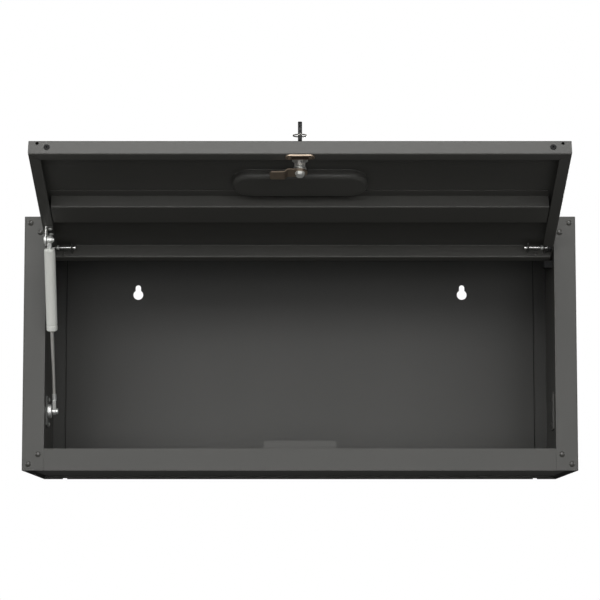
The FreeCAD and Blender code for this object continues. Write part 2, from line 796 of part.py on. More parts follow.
def lower_pin():
    """Pivot pin carried by the rod's eye, stopping short of the bracket's boss."""
    boss_face = -(x_open - plate_sheet - boss_h)
    start = Vector(boss_face + seat_gap, lower_pivot.y, lower_pivot.z)
    head_start = strut_x + lower_eye_thick / 2
    shaft = rod(pivot_r, start, Vector(head_start + sink, start.y, start.z))
    head = rod(1.5 * pivot_r, Vector(head_start, start.y, start.z),
               Vector(head_start + lower_head_h, start.y, start.z))
    head = head.makeFillet(lower_head_h / 4, rim_at(head, 0, head_start + lower_head_h))
    return joined([shaft, head])


def ear_screw_points():
    """Screw points of the strut's door bracket, on the door's left lip."""
    reach = ear_foot / 2 - ear_screw_inset
    return [shut(strut_x + 1.0, upper_reach - ear_shift + side * reach, lip_n + ear_sheet)
            for side in (-1, 1)]


def door_bracket():
    """Bent bracket on the door's lip: foot, and an ear that carries the upper pin."""
    x1 = strut_x - ear_offset
    x0 = x1 - ear_sheet
    s0 = upper_reach - ear_shift - ear_foot / 2
    foot = door_box(x0, strut_x + 5.0, s0, s0 + ear_foot, lip_n, lip_n + ear_sheet)
    top = rod(ear_tip_r, Vector(x0, upper_shut.y, upper_shut.z),
              Vector(x1, upper_shut.y, upper_shut.z))
    web = door_box(x0, x1, upper_reach - ear_tip_r, upper_reach + ear_tip_r, lip_n, upper_rise)
    base = door_box(x0, x1, s0, s0 + ear_foot, lip_n, lip_n + ear_root)
    holes = [rod(rivet_shank_r + fit_gap, p + Vector(0, 3, 0), p - Vector(0, 6, 0))
             for p in ear_screw_points()]
    holes.append(rod(pivot_r, Vector(x0 - 1, upper_shut.y, upper_shut.z),
                     Vector(x1 + 1, upper_shut.y, upper_shut.z)))
    return joined([foot, top, web, base]).cut(holes)


# lock and key, drawn with the door shut
def lock_point(n):
    return shut(0, lock_s, n)


def barrel():
    """Threaded lock body with a domed head outside the door."""
    back = inner_skin + barrel_in
    head = rod(barrel_head_r, lock_point(skin_n - barrel_out), lock_point(skin_n))
    head = head.makeFillet(barrel_head_round, rim_at(head, 1, hinge_y + skin_n - barrel_out))
    body = rod(barrel_r, lock_point(skin_n), lock_point(back))
    bore = rod(plug_r + fit_gap, lock_point(skin_n - barrel_out - 1), lock_point(back + 1))
    return joined([head, body]).cut(bore)


def hexagon(flats, n0, n1, first=0):
    """Hexagonal prism about the lock's axis, its inner corners turned off."""
    radius = flats / math.sqrt(3)
    turns = [math.radians(first + 60 * k) for k in range(7)]
    ring = [shut(radius * math.cos(turn), lock_s + radius * math.sin(turn), n0)
            for turn in turns]
    prism = Part.Face(Part.makePolygon(ring)).extrude(Vector(0, n1 - n0, 0))
    turned = rod(radius, lock_point(n0), lock_point(n1))
    turned = turned.makeChamfer((radius - flats / 2) * 0.6, rim_at(turned, 1, hinge_y + n1))
    return prism.common(turned)


def lock_nut():
    prism = hexagon(nut_flats, inner_skin, inner_skin + nut_h, first=30)
    return prism.cut(rod(barrel_r + fit_gap, lock_point(skin_n), lock_point(lip_n)))


def stop_washer():
    """Bright washer that closes the barrel's inner end, square hole round the plug."""
    n0 = inner_skin + barrel_in
    ring = rod(barrel_r, lock_point(n0), lock_point(n0 + washer_h))
    return ring.cut(rod(plug_r + fit_gap, lock_point(n0 - 1), lock_point(n0 + washer_h + 1)))


def cam_n():
    return inner_skin + barrel_in + washer_h + cam_stand


def lock_plug():
    """Turning plug: keyed cylinder with a square end that carries the cam."""
    shoulder = cam_n()
    front = plug_front()
    body = rod(plug_r, lock_point(front), lock_point(shoulder))
    half = plug_square / 2
    end = shoulder + cam_sheet
    square = door_box(-half, half, lock_s - half, lock_s + half, shoulder - sink, end)
    half_t, half_w = key_blade_t / 2 + fit_gap, key_blade_w / 2 + fit_gap
    slot = door_box(-half_t, half_t, lock_s - half_w, lock_s + half_w,
                    front - 1, front + key_blade_length - key_tip_gap + 1)
    tapped = rod(screw_shank_r, lock_point(end - tapped_depth), lock_point(end + 1))
    return joined([body, square]).cut([slot, tapped])


def plug_front():
    """Plug's keyed face, just inside the barrel's domed head."""
    return skin_n - barrel_out + plug_sunk


def lock_cam():
    """Cranked cam pointing left when unlocked: round the plug, then one step inward."""
    n0 = cam_n()
    n1 = n0 + cam_joggle
    half = cam_width / 2
    hub = rod(half, lock_point(n0), lock_point(n0 + cam_sheet))
    profile = [(0, n0), (-half - cam_step, n0), (-half - cam_step - cam_joggle, n1),
               (-cam_reach, n1)]
    low = [shut(x, lock_s - half, n) for x, n in profile]
    high = [p + Vector(0, cam_sheet, 0) for p in reversed(low)]
    strip = Part.Face(Part.makePolygon(low + high + low[:1])).extrude(Vector(0, 0, -cam_width))
    corners = [(-cam_reach, hinge_z - lock_s + side * half) for side in (-1, 1)]
    strip = strip.makeFillet(cam_corner, edges_along(strip, 1, corners))
    square = plug_square / 2 + fit_gap
    hole = door_box(-square, square, lock_s - square, lock_s + square, n0 - 1, n1 + 3)
    return joined([hub, strip]).cut(hole)


def cam_screw():
    """Hexagon-headed screw and captive washer that hold the cam on the plug."""
    n0 = cam_n() + cam_sheet
    n1 = n0 + screw_washer_h
    washer = rod(screw_washer_r, lock_point(n0), lock_point(n1))
    head = hexagon(screw_flats, n1, n1 + screw_h)
    shank = rod(screw_shank_r, lock_point(n0 - tapped_depth + sink), lock_point(n0 + sink))
    return joined([washer, head, shank])


def wear_rivet_points():
    s = free_edge - free_lip / 2 + sheet / 2
    return [shut(side * (wear_width / 2 - wear_height / 2), s, lip_n + wear_sheet)
            for side in (-1, 1)]


def wear_plate():
    """Round-ended plate on the free lip where the cam sweeps over it."""
    n0, n1 = lip_n, lip_n + wear_sheet
    ends = [p - Vector(0, wear_sheet, 0) for p in wear_rivet_points()]
    through = Vector(0, wear_sheet, 0)
    s = hinge_z - ends[0].z
    middle = door_box(ends[0].x, ends[1].x, s - wear_height / 2, s + wear_height / 2, n0, n1)
    discs = [rod(wear_height / 2, p, p + through) for p in ends]
    holes = [rod(rivet_shank_r + fit_gap, p - through, p + through * 2) for p in ends]
    return joined([middle] + discs).cut(holes)


def wear_rivets():
    return Part.makeCompound([rivet(p, Vector(0, 1, 0), wear_rivet_r, wear_rivet_h,
                                    rivet_shank_r, wear_sheet + sheet)
                              for p in wear_rivet_points()])


def ear_screws():
    return Part.makeCompound([rivet(p, Vector(0, 1, 0), ear_screw_r, ear_screw_h,
                                    rivet_shank_r, ear_sheet + sheet)
                              for p in ear_screw_points()])


def bumpers():
    """Rubber plugs pressed into the free-edge flange, each with a blind hole in its face."""
    plugs = []
    up = Vector(0, 0, 1)
    for side in (-1, 1):
        outer = shut(side * bumper_x, free_edge, 0)
        inner = outer + up * sheet
        face = outer - up * bumper_stand
        head = rod(bumper_r, face, outer)
        head = head.makeFillet(bumper_stand / 2, rim_at(head, 2, face.z))
        neck = rod(bumper_neck_r, outer - up * seat_gap, inner + up * seat_gap)
        barb = rod(bumper_r, inner, inner + up * bumper_barb)
        bore = rod(bumper_bore_r, face - up, inner)
        plugs.append(joined([head, neck, barb]).cut(bore))
    return Part.makeCompound(plugs)


def key_top():
    return skin_n - key_stand


def key_blade():
    """Flat steel blade with a milled groove along one side."""
    half = key_blade_w / 2
    start = key_top() + key_bow_length - key_hold
    tip = plug_front() + key_blade_length - key_tip_gap
    blade = door_box(-key_blade_t / 2, key_blade_t / 2, lock_s - half, lock_s + half, start, tip)
    groove = door_box(-key_blade_t, -key_blade_t / 4, lock_s - key_blade_w / 8,
                      lock_s + key_blade_w / 8, start + key_hold + 1, tip + 1)
    return blade.cut(groove)


def key_head():
    """Moulded bow over the blade: rounded slab with a ring hole and a split along its edge."""
    half = key_bow_w / 2
    top = key_top()
    slab = door_box(-key_bow_t / 2, key_bow_t / 2, lock_s - half, lock_s + half,
                    top, top + key_bow_length)
    corners = [e for e in slab.Edges if abs(e.Vertexes[0].X - e.Vertexes[-1].X) > 1]
    slab = slab.makeFillet(key_bow_round, corners)
    slab = slab.makeFillet(key_bow_t / 5, rim_at(slab, 0, key_bow_t / 2)
                           + rim_at(slab, 0, -key_bow_t / 2))
    hole = rod(ring_hole_r, shut(-key_bow_t, lock_s, ring_hole_n()),
               shut(key_bow_t, lock_s, ring_hole_n()))
    splits = [door_box(-key_slot_w / 2, key_slot_w / 2, lock_s - half - 1, lock_s + half + 1,
                       ring_hole_n() - n0, ring_hole_n() - n1)
              for n0, n1 in ((key_slot_near, -key_slot_near), key_slot_far[::-1])]
    half_w, half_t = key_blade_w / 2, key_blade_t / 2
    seat = door_box(-half_t, half_t, lock_s - half_w, lock_s + half_w,
                    top + key_bow_length - key_hold, top + key_bow_length + 1)
    return slab.cut([hole, seat] + splits)


def ring_hole_n():
    return key_top() + ring_hole_drop


def ring_seat():
    """Where the ring's wire rests in the bow's hole, in the rest pose."""
    drop = ring_hole_r - ring_wire_r - ring_gap
    return opened_point(0, lock_s, ring_hole_n()) - Vector(0, 0, drop)


def key_ring():
    """Ring through the bow's hole, lying level in front of the bow."""
    centre = ring_seat() - Vector(0, ring_r, 0)
    return Part.makeTorus(ring_r, ring_wire_r, centre, Vector(0, 0, 1))


# write every node
save_pair("side_panel", side_panel())
save("top_panel", cross_panel(z_top - sheet, z_top, -1, top_flange))
save("bottom_panel", cross_panel(z_floor - sheet, z_bottom, 1, flange).cut(strike_holes()))
save("back_panel", back_panel())
save_pair("inner_post", post())
save("frame_rivets", Part.makeCompound([
    rivet(p, Vector(0, -1, 0), rivet_head_r, rivet_head_h, rivet_shank_r, 2 * sheet)
    for p in rivet_corners()]))
save("strike_tab", strike_tab())
save("strike_rivets", Part.makeCompound([
    rivet(p, Vector(0, 0, 1), small_head_r, small_head_h, rivet_shank_r, strike_sheet + sheet)
    for p in strike_points()]))
save_pair("door_stop", door_stop())
save("strut_wall_bracket", mirrored(wall_bracket()))
save("strut_wall_rivets", mirrored(plate_rivet_group()))
save("spare_strut_plate", strut_plate(spare_height, spare_length))
save("spare_plate_rivets", plate_rivet_group())

save("door_pan", opened(door_pan()))
save("door_stiffener", opened(stiffener()))
save_pair("hinge_bracket", opened(hinge_bracket()))
save_pair("hinge_bracket_rivet", opened(hinge_rivet()))
save_pair("hinge_bush", opened(hinge_bush()))
save_pair("hinge_pin", opened(hinge_pin()))
save_pair("pin_clip", opened(pin_clip()))
save_pair("pin_spring", opened(pin_spring()))
save("strut_door_bracket", opened(door_bracket()))
save("strut_bracket_screws", opened(ear_screws()))
save("strut_upper_pin", opened(upper_pin()))
save("strut_upper_washer", opened(upper_washer()))
save("wear_plate", opened(wear_plate()))
save("wear_plate_rivets", opened(wear_rivets()))
save("door_bumpers", opened(bumpers()))

save("strut_tube", strut_tube())
save("strut_upper_eye", upper_eye())
save("strut_gland", strut_gland())
save("strut_rod", strut_rod())
save("strut_piston", strut_piston())
save("strut_lower_eye", lower_eye())
save("strut_lower_pin", lower_pin())

save("lock_barrel", opened(barrel()))
save("lock_nut", opened(lock_nut()))
save("lock_stop_washer", opened(stop_washer()))
save("lock_plug", opened(lock_plug()))
save("lock_cam", opened(lock_cam()))
save("cam_screw", opened(cam_screw()))
save("key_blade", opened(key_blade()))
save("key_head", opened(key_head()))
save("key_ring", key_ring())

print(f"strut {strut_long:.2f} open, {strut_short:.2f} shut, stroke {stroke:.2f}")
for name, point in (("hinge", hinge_axis), ("upper pivot", upper_pivot),
                    ("lower pivot", lower_pivot), ("lock", opened_point(0, lock_s, 0)),
                    ("ring seat", ring_seat())):
    print(f"{name}: {point.x:.3f} {point.y:.3f} {point.z:.3f}")
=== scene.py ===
import json
import math

import bpy
import numpy as np
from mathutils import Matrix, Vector


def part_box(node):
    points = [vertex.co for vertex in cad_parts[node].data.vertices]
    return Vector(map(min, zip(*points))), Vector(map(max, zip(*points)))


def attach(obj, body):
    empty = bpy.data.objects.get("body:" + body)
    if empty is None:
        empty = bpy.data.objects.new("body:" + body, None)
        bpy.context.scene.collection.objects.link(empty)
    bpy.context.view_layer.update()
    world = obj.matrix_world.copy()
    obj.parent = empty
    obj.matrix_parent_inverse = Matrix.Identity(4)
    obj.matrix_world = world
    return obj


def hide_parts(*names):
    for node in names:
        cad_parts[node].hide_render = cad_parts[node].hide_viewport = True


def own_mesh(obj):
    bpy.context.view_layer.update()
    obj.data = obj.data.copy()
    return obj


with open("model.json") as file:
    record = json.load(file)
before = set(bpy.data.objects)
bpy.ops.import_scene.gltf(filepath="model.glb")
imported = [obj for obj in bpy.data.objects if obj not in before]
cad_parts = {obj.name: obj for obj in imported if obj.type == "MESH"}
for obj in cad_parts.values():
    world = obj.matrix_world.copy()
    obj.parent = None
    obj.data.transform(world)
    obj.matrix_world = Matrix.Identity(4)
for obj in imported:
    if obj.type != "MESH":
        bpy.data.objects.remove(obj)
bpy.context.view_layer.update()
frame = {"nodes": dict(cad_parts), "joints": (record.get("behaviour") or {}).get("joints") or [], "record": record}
nodes = frame["nodes"]
joints = {joint["name"]: joint for joint in frame["joints"]}
mm = 0.001
print("frame loaded:", len(nodes), "nodes")


def toLinear(hexColour):
    # sRGB hex to the linear RGBA that the shader sockets take
    parts = [int(hexColour[i:i + 2], 16) / 255 for i in (1, 3, 5)]
    linear = [c / 12.92 if c <= 0.04045 else ((c + 0.055) / 1.055) ** 2.4 for c in parts]
    return (*linear, 1.0)


def addNode(tree, kind, inputs=None, **settings):
    # a node with its settings; each input is a value, or a socket to link from
    node = tree.nodes.new(kind)
    for key, value in settings.items():
        setattr(node, key, value)
    for key, value in (inputs or {}).items():
        if isinstance(value, bpy.types.NodeSocket):
            tree.links.new(value, node.inputs[key])
        else:
            node.inputs[key].default_value = value
    return node


def startMaterial(name, constants):
    # one Principled shader whose sockets take the given constants
    material = bpy.data.materials.new(name)
    material.use_nodes = True
    tree = material.node_tree
    tree.nodes.clear()
    shader = addNode(tree, "ShaderNodeBsdfPrincipled", constants)
    addNode(tree, "ShaderNodeOutputMaterial", {"Surface": shader.outputs["BSDF"]})
    return material, tree, shader


def makeFinish(plan):
    # noise patterns on the piece's own coordinates, with lumps of the plan's width: the base colour
    # runs between two close tones, the roughness between two values, and bumps lie over each other;
    # a tone may run straight across the piece instead, from one place to another
    material, tree, shader = startMaterial(plan["name"], plan["constants"])
    place = addNode(tree, "ShaderNodeTexCoord").outputs["Object"]
    noise = {}
    for lumps in (plan.get("toneLumps"), plan["roughLumps"], *(bump[0] for bump in plan["bumps"])):
        if lumps and lumps not in noise:
            widthMm, detail = lumps
            inputs = {"Vector": place, "Scale": 1 / (widthMm * mm), "Detail": detail}
            noise[lumps] = addNode(tree, "ShaderNodeTexNoise", inputs,
                                   label=f"{widthMm} mm lumps").outputs["Fac"]
    if "toneAcrossMm" in plan:
        start, end = plan["toneAcrossMm"]
        across = addNode(tree, "ShaderNodeSeparateXYZ", {"Vector": place}).outputs["X"]
        inputs = {"Value": across, "From Min": start * mm, "From Max": end * mm}
        factor = addNode(tree, "ShaderNodeMapRange", inputs).outputs["Result"]
    else:
        factor = noise[plan["toneLumps"]]
    ramp = addNode(tree, "ShaderNodeValToRGB", {"Fac": factor})
    for stop, tone in zip(ramp.color_ramp.elements, plan["tones"]):
        stop.color = toLinear(tone)
    tree.links.new(ramp.outputs["Color"], shader.inputs["Base Color"])
    smooth, rough = plan["roughness"]
    inputs = {"Value": noise[plan["roughLumps"]], "To Min": smooth, "To Max": rough}
    spread = addNode(tree, "ShaderNodeMapRange", inputs)
    tree.links.new(spread.outputs["Result"], shader.inputs["Roughness"])
    bumps = {}
    for lumps, strength, depthMm in plan["bumps"]:
        bumps.update({"Height": noise[lumps], "Strength": strength, "Distance": depthMm * mm})
        bumps["Normal"] = addNode(tree, "ShaderNodeBump", bumps).outputs["Normal"]
    tree.links.new(bumps["Normal"], shader.inputs["Normal"])
    return material


# metres in front of the cabinet and below its floor, degrees tipped up, and the lens in millimetres
cameraPlan = {"distance": 3.341, "belowBottom": 0.144, "pitch": 6.457, "lens": 146.7}


def makeCamera(plan):
    # below the cabinet's floor and tipped up, so that the underside and the inside of the door show
    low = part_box("side_panel_left")[0]
    camera = bpy.data.objects.new("camera", bpy.data.cameras.new("camera"))
    bpy.context.scene.collection.objects.link(camera)
    camera.location = (0.0, low.y - plan["distance"], low.z - plan["belowBottom"])
    camera.rotation_euler = (math.radians(90 + plan["pitch"]), 0.0, 0.0)
    camera.data.lens = plan["lens"]
    bpy.context.scene.camera = camera


studioPlan = {
    "floorDrop": 3.4, "floorSize": 16.0,  # metres below the cabinet's floor, metres across
    "floorTone": "#9C9C9A", "floorGlow": "#F6F6F4", "floorRoughness": 0.9,
    "ambient": 0.06,  # the share of the white room that lights the cabinet
    "softboxes": {
        # place and aim in metres, width and height in metres, watts
        "key": ((-1.4, -3.4, 1.0), (0.0, -0.2, -0.1), 1.8, 1.4, 46.0),
        "front": ((0.0, -3.9, 0.5), (0.0, -0.2, -0.1), 1.8, 1.2, 6.0),
        "fill": ((1.4, -3.4, 0.6), (0.0, -0.2, -0.1), 1.8, 1.4, 27.0),
        "low": ((0.0, -3.8, -0.4), (0.0, -0.2, -0.1), 1.8, 0.8, 21.0),
        "over": ((0.0, -2.6, 2.6), (0.0, -0.3, 0.0), 2.2, 1.6, 80.0),
        "left": ((-3.4, -0.4, 0.6), (0.0, -0.2, -0.1), 1.6, 1.6, 30.0),
        "right": ((3.4, -0.4, 0.6), (0.0, -0.2, -0.1), 1.6, 1.6, 30.0),
        "rear": ((0.9, 3.6, 0.3), (0.0, 0.0, -0.1), 1.8, 1.2, 130.0),
    },
}


def paperFloor(plan):
    # matt pale paper: it looks evenly lit, while the cabinet gets only the soft bounce of its tone
    material, tree, shader = startMaterial("matt paper floor", {
        "Base Color": toLinear(plan["floorTone"]), "Roughness": plan["floorRoughness"],
        "Emission Color": toLinear(plan["floorGlow"])})
    seen = addNode(tree, "ShaderNodeLightPath").outputs["Is Camera Ray"]
    tree.links.new(seen, shader.inputs["Emission Strength"])
    return material


def makeStudio(plan):
    # a square floor far below, a white room that lights little, and one area lamp per softbox
    scene = bpy.context.scene
    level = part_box("side_panel_left")[0].z - plan["floorDrop"]
    half = plan["floorSize"] / 2
    mesh = bpy.data.meshes.new("studio_floor")
    corners = [(-half, -half, level), (half, -half, level), (half, half, level),
               (-half, half, level)]
    mesh.from_pydata(corners, [], [(0, 1, 2, 3)])
    floor = bpy.data.objects.new("studio_floor", mesh)
    scene.collection.objects.link(floor)
    mesh.materials.append(paperFloor(plan))
    world = bpy.data.worlds.new("studio")
    world.use_nodes = True
    tree = world.node_tree
    tree.nodes.clear()
    seen = addNode(tree, "ShaderNodeLightPath").outputs["Is Camera Ray"]
    spread = {"Value": seen, "To Min": plan["ambient"], "To Max": 1.0}
    strength = addNode(tree, "ShaderNodeMapRange", spread).outputs["Result"]
    glow = addNode(tree, "ShaderNodeBackground", {"Color": (1, 1, 1, 1), "Strength": strength})
    addNode(tree, "ShaderNodeOutputWorld", {"Surface": glow.outputs["Background"]})
    scene.world = world
    for name, (place, aim, width, height, watts) in plan["softboxes"].items():
        light = bpy.data.lights.new(name, "AREA")
        light.shape, light.size, light.size_y, light.energy = "RECTANGLE", width, height, watts
        box = bpy.data.objects.new(name, light)
        box.location = place
        box.rotation_euler = (Vector(aim) - Vector(place)).to_track_quat("-Z", "Y").to_euler()
        scene.collection.objects.link(box)
    scene.view_settings.view_transform = "Standard"


makeCamera(cameraPlan)
makeStudio(studioPlan)
print("camera and studio ready")


# a finish is its shader's constants, two tones and two roughnesses; lumps are (width in
# millimetres, detail), and a bump is (lumps, strength, depth in millimetres)
metal = {"Metallic": 1.0}
powderTones = ("#3C3C39", "#41403D")
finishPlans = {
    # polyester powder coat on sheet steel: grains melted together, so a dull, finely pebbled skin;
    # the real pebbles are about 0.3 mm, drawn at 1.1 mm so that they show
    "powder_coat": {
        "name": "anthracite powder coat", "constants": {"IOR": 1.5},
        "tones": powderTones, "toneLumps": (80.0, 2.0),
        "roughness": (0.46, 0.56), "roughLumps": (1.1, 3.0),
        "bumps": [((6.0, 2.0), 0.2, 0.1), ((1.1, 3.0), 0.25, 0.05)],
    },
    # bright zinc bath on pressed steel: cold white metal, softly cloudy with fine crystals
    "zinc_plate": {
        "name": "bright zinc plate", "constants": metal,
        "tones": ("#D8D9D6", "#EDEEEB"), "toneLumps": (3.0, 3.0),
        "roughness": (0.5, 0.62), "roughLumps": (3.0, 3.0),
        "bumps": [((0.6, 2.0), 0.2, 0.03)],
    },
    # drawn spring wire, zinc plated: bright and smooth, with faint marks of the drawing die
    "spring_steel": {
        "name": "drawn spring wire", "constants": metal,
        "tones": ("#E6E6E3", "#F6F6F4"), "toneLumps": (1.0, 2.0),
        "roughness": (0.2, 0.3), "roughLumps": (0.5, 2.0),
        "bumps": [((0.3, 2.0), 0.15, 0.02)],
    },
    # moulded rubber: deep dull black with a broad faint shine
    "rubber_black": {
        "name": "moulded rubber", "constants": {"IOR": 1.45},
        "tones": ("#050505", "#0B0B0B"), "toneLumps": (3.0, 2.0),
        "roughness": (0.7, 0.85), "roughLumps": (1.0, 2.0),
        "bumps": [((0.5, 2.0), 0.3, 0.05)],
    },
    # moulded nylon: satin black with the faint grain of its mould
    "nylon_black": {
        "name": "moulded nylon", "constants": {"IOR": 1.53},
        "tones": ("#151516", "#1E1E1F"), "toneLumps": (2.0, 2.0),
        "roughness": (0.4, 0.5), "roughLumps": (0.8, 2.0),
        "bumps": [((0.4, 2.0), 0.2, 0.03)],
    },
    # light grey enamel over drawn tube: even and smooth, a soft highlight down its length
    "strut_paint": {
        "name": "light grey enamel", "constants": {"IOR": 1.5},
        "tones": ("#C9CAC4", "#D0D1CC"), "toneLumps": (20.0, 2.0),
        "roughness": (0.32, 0.4), "roughLumps": (4.0, 2.0),
        "bumps": [((2.5, 2.0), 0.1, 0.04)],
    },
    # hard chrome over ground steel: pale metal, dulled by the fine marks of the grinding wheel
    "ground_chrome": {
        "name": "ground hard chrome", "constants": metal,
        "tones": ("#E2E0DB", "#EEECE8"), "toneLumps": (6.0, 2.0),
        "roughness": (0.42, 0.52), "roughLumps": (0.8, 2.0),
        "bumps": [((0.35, 2.0), 0.1, 0.01)],
    },
    # zinc with a yellow passivation: straw-brown metal with faint pink and grey clouds
    "yellow_zinc": {
        "name": "yellow passivated zinc", "constants": metal,
        "tones": ("#8E8072", "#AA9A89"), "toneLumps": (7.0, 3.0),
        "roughness": (0.38, 0.5), "roughLumps": (3.0, 2.0),
        "bumps": [((0.5, 2.0), 0.2, 0.03)],
    },
    # turned brass: warm metal with fine tool marks
    "piston_brass": {
        "name": "turned brass", "constants": metal,
        "tones": ("#B08D4A", "#C9A765"), "toneLumps": (3.0, 2.0),
        "roughness": (0.28, 0.38), "roughLumps": (1.0, 2.0),
        "bumps": [((0.3, 2.0), 0.2, 0.02)],
    },
    # glass-filled nylon bow: black and semi-gloss, with the fine grain of a spark-cut mould
    "key_plastic": {
        "name": "glass-filled nylon", "constants": {"IOR": 1.4},
        "tones": ("#040404", "#080808"), "toneLumps": (2.0, 2.0),
        "roughness": (0.46, 0.56), "roughLumps": (0.6, 2.0),
        "bumps": [((0.35, 2.0), 0.35, 0.04)],
    },
    # nickel-plated spring wire: warm grey and smooth
    "ring_steel": {
        "name": "nickel-plated wire", "constants": metal,
        "tones": ("#93908A", "#A8A59F"), "toneLumps": (2.0, 2.0),
        "roughness": (0.22, 0.32), "roughLumps": (0.8, 2.0),
        "bumps": [((0.4, 2.0), 0.1, 0.01)],
    },
}
# the same powder coat over domed rivet heads, where it flows out thinner and shinier
rivetPlan = {
    "name": "powder coat on rivet heads", "constants": {"IOR": 1.5},
    "tones": powderTones, "toneLumps": (8.0, 2.0),
    "roughness": (0.14, 0.2), "roughLumps": (1.1, 2.0),
    "bumps": [((1.1, 2.0), 0.1, 0.02)],
}
# zinc on a bracket, coloured dark grey on its flat plate and near white on the part the strut turns on
bracketDarkenedPlan = {
    "name": "worn zinc plate", "constants": metal, "tones": ("#5E5F5D", "#F0F0EE"),
    "roughness": (0.5, 0.62), "roughLumps": (3.0, 2.0),
    "bumps": [((0.6, 2.0), 0.2, 0.03)],
}
# where the tone changes across each bracket, from the dark plate to the bright part
bracketAcrossMm = {"strut_wall_bracket": (-348.1, -347.5), "strut_door_bracket": (-341.5, -342.8)}

finishes = {slotName: makeFinish(plan) for slotName, plan in finishPlans.items()}
ownFinish = {"frame_rivets": makeFinish(rivetPlan),
             "hinge_pin_left": finishes["spring_steel"],
             "hinge_pin_right": finishes["spring_steel"]}
for name, across in bracketAcrossMm.items():
    ownFinish[name] = makeFinish(dict(bracketDarkenedPlan, toneAcrossMm=across))
slotOf = {part["node"]: part["material_slot"] for part in frame["record"]["subparts"]}
for name, node in nodes.items():
    node.data.materials.clear()
    node.data.materials.append(ownFinish.get(name, finishes[slotOf[name]]))
print("finishes assigned")


sharpDegrees = 35.0  # edges that turn by more than this stay crisp


def surfacePiece(name, points, closedAlong=False):
    # a mesh from a grid of points, as quads between neighbours: the columns close round, and the
    # rows end in flat caps or close round too
    rows, columns = points.shape[:2]
    index = np.arange(rows * columns).reshape(rows, columns)
    if closedAlong:
        index = np.vstack([index, index[:1]])
    turned = np.roll(index, -1, axis=1)
    quads = np.stack([index[:-1], turned[:-1], turned[1:], index[1:]], axis=-1).reshape(-1, 4)
    places = points.reshape(-1, 3)
    faces = quads.tolist()
    if not closedAlong:
        middles = np.stack([points[0].mean(axis=0), points[-1].mean(axis=0)])
        startMiddle, endMiddle = len(places), len(places) + 1
        places = np.vstack([places, middles])
        starts, ends = index[0], index[-1]
        faces += np.stack([np.full(columns, startMiddle), np.roll(starts, -1), starts],
                          axis=1).tolist()
        faces += np.stack([np.full(columns, endMiddle), ends, np.roll(ends, -1)],
                          axis=1).tolist()
    corners = places[quads]
    outwardSum = (np.cross(corners[:, 1] - corners[:, 0], corners[:, 2] - corners[:, 0])
                  * (corners[:, 0] - places.mean(axis=0))).sum()
    if outwardSum < 0:
        faces = [face[::-1] for face in faces]  # faces point outwards
    mesh = bpy.data.meshes.new(name)
    mesh.from_pydata(places, [], faces)
    mesh.polygons.foreach_set("use_smooth", np.ones(len(mesh.polygons), dtype=bool))
    mesh.set_sharp_from_angle(angle=math.radians(sharpDegrees))
    mesh.update()
    piece = bpy.data.objects.new(name, mesh)
    bpy.context.scene.collection.objects.link(piece)
    return piece


def finishPiece(piece, body, slotName, node=None, material=None):
    # its finish, the body it rides on, and the CAD node that it stands for, if any; the finish
    # is its slot's, unless another material is given
    piece.data.materials.append(material or finishes[slotName])
    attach(piece, body)
    if node:
        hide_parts(node)
    return piece


def turnedForm(start, axis, side, heights, radii):
    # points of a turned surface: start + height * axis + radius * outward, with a row for each
    # height and a column for each angle round from the side direction
    angles = np.linspace(0, 2 * np.pi, radii.shape[1], endpoint=False)
    outward = (np.outer(np.cos(angles), side)
               + np.outer(np.sin(angles), np.cross(np.array(axis), side)))
    along = np.array(start) + np.outer(heights, axis)
    return along[:, None, :] + radii[:, :, None] * outward[None, :, :]


def wireForm(path, inward, wireRadius, columns):
    # points of a round wire: a circle square to the path at each of its points, drawn from the
    # direction that points inward there
    tangent = np.gradient(path, axis=0)
    tangent /= np.linalg.norm(tangent, axis=1, keepdims=True)
    second = np.cross(tangent, inward)
    second /= np.linalg.norm(second, axis=1, keepdims=True)
    first = np.cross(second, tangent)
    angles = np.linspace(0, 2 * np.pi, columns, endpoint=False)
    circle = (np.cos(angles)[None, :, None] * first[:, None, :]
              + np.sin(angles)[None, :, None] * second[:, None, :])
    return path[:, None, :] + wireRadius * circle


def quarterDrop(distance, reach, drop):
    # how far a rounded shoulder falls: a quarter ellipse over the reach, nothing beyond it
    share = np.clip(1 - distance / reach, 0, 1)
    return drop * (1 - np.sqrt(1 - share ** 2))


# dead turns lie closed at each end; keep is the spring's share of its length at full travel
springPlan = {"wireMm": 0.8, "turns": 9.0, "deadTurns": 1.0, "pointsPerTurn": 26, "columns": 12,
              "keep": 0.68}


def pinSpring(side, plan):
    # helix about the pin: (x of the turn, radius * cosine, radius * sine), where x climbs one wire
    # over each closed end turn and evenly between them
    low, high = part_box("pin_spring_" + side)
    wire = plan["wireMm"] * mm
    radius = (high.z - low.z) / 2 - wire / 2
    length = high.x - low.x - wire
    turn = np.linspace(0, plan["turns"], int(plan["turns"] * plan["pointsPerTurn"]))
    knees = [0, plan["deadTurns"], plan["turns"] - plan["deadTurns"], plan["turns"]]
    x = low.x + wire / 2 + np.interp(turn, knees, [0, wire, length - wire, length])
    centre = (low + high) / 2
    outward = np.stack([np.zeros_like(turn), np.cos(turn * 2 * np.pi),
                        np.sin(turn * 2 * np.pi)], axis=1)
    path = np.stack([x, np.full_like(x, centre.y), np.full_like(x, centre.z)], axis=1)
    points = wireForm(path + radius * outward, -outward, wire / 2, plan["columns"])
    piece = surfacePiece("coil_" + side, points)
    finishPiece(piece, "door", "spring_steel", "pin_spring_" + side)
    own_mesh(piece)


for side in ("left", "right"):
    pinSpring(side, springPlan)
print("pin springs made")


# degrees left open at the wire's ends, and degrees over which it steps to the other layer
ringPlan = {"gap": 12.0, "step": 24.0, "pointsPerTurn": 90, "columns": 14}


